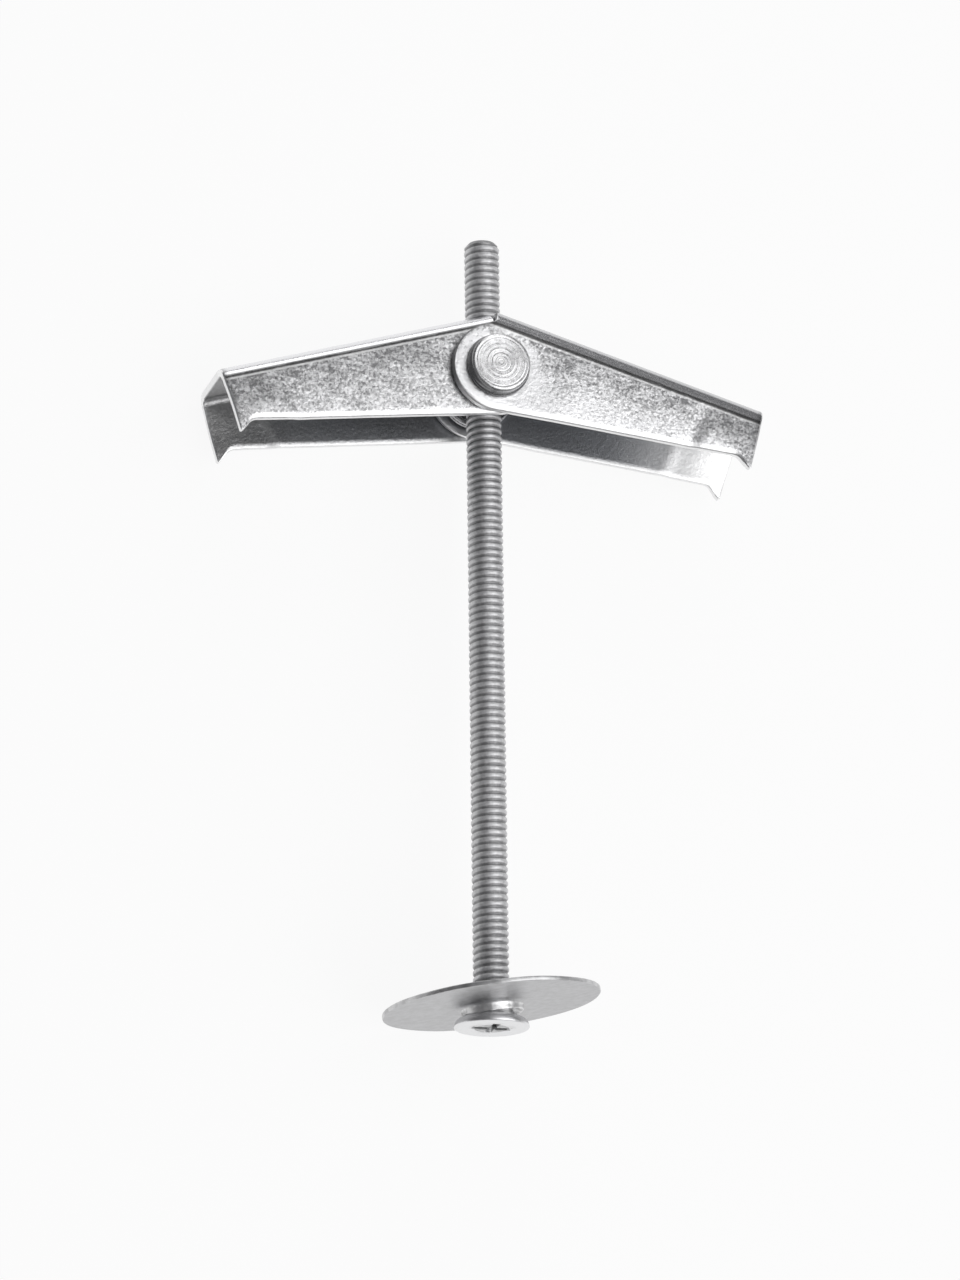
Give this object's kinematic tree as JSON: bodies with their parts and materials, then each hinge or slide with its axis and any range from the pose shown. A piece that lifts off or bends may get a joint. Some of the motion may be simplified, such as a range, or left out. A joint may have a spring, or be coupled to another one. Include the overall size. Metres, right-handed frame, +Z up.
{
  "type": "spring toggle anchor",
  "caption": "Spring toggle anchor for hollow walls: a countersunk machine screw with a wide washer, a trunnion nut and two folded steel wings that spring open.",
  "frame": {"origin": "bottom centre of the bounding box, on the surface that the anchor lies on", "axes": "+Y along the screw towards its tip, tipped 3.5 degrees down towards the tip; +X along the right wing; +Z up"},
  "size_m": [0.0626, 0.0906, 0.0238],
  "materials": {
    "screw_zinc": "zinc plated, rolled thread, satin",
    "washer_zinc": "zinc plated, pressed sheet, satin",
    "nut_zinc": "zinc plated, fine turned rings",
    "wing_zinc": "galvanised sheet, fine mottled grain",
    "spring_wire": "bright drawn spring wire"
  },
  "bodies": {
    "toggle_nut": {"toggle_nut": "nut_zinc", "spring": "spring_wire"},
    "wing_left": {"wing_left": "wing_zinc"},
    "wing_right": {"wing_right": "wing_zinc"},
    "washer": {"washer": "washer_zinc"},
    "screw": {"screw": "screw_zinc"}
  },
  "joints": [
    {"name": "wing_right_fold", "type": "hinge", "parent": "toggle_nut", "child": "wing_right", "pos_m": [0, 0.02868, 0.00757], "axis": [0, -0.0606, -0.9982], "range_deg": [0, 72], "stiffness_Nm_per_rad": 0.012, "springref_deg": -57.3, "deforming": ["spring"]},
    {"name": "wing_left_fold", "type": "hinge", "parent": "toggle_nut", "child": "wing_left", "pos_m": [0, 0.02868, 0.00757], "axis": [0, 0.0606, 0.9982], "range_deg": [0, 72], "stiffness_Nm_per_rad": 0.012, "springref_deg": -57.3, "deforming": ["spring"]},
    {"name": "screw_spin", "type": "hinge", "parent": "washer", "child": "screw", "pos_m": [0, 0.02868, 0.00757], "axis": [0, 0.9982, -0.0606], "range_deg": [-5176, 16201]},
    {"name": "screw_travel", "type": "slide", "parent": "toggle_nut", "child": "washer", "axis": [0, 0.9982, -0.0606], "range_m": [-0.0115, 0.036]}
  ],
  "couplings": [
    {"joint": "screw_spin", "follows": "screw_travel", "rad_per_m": 7854}
  ]
}
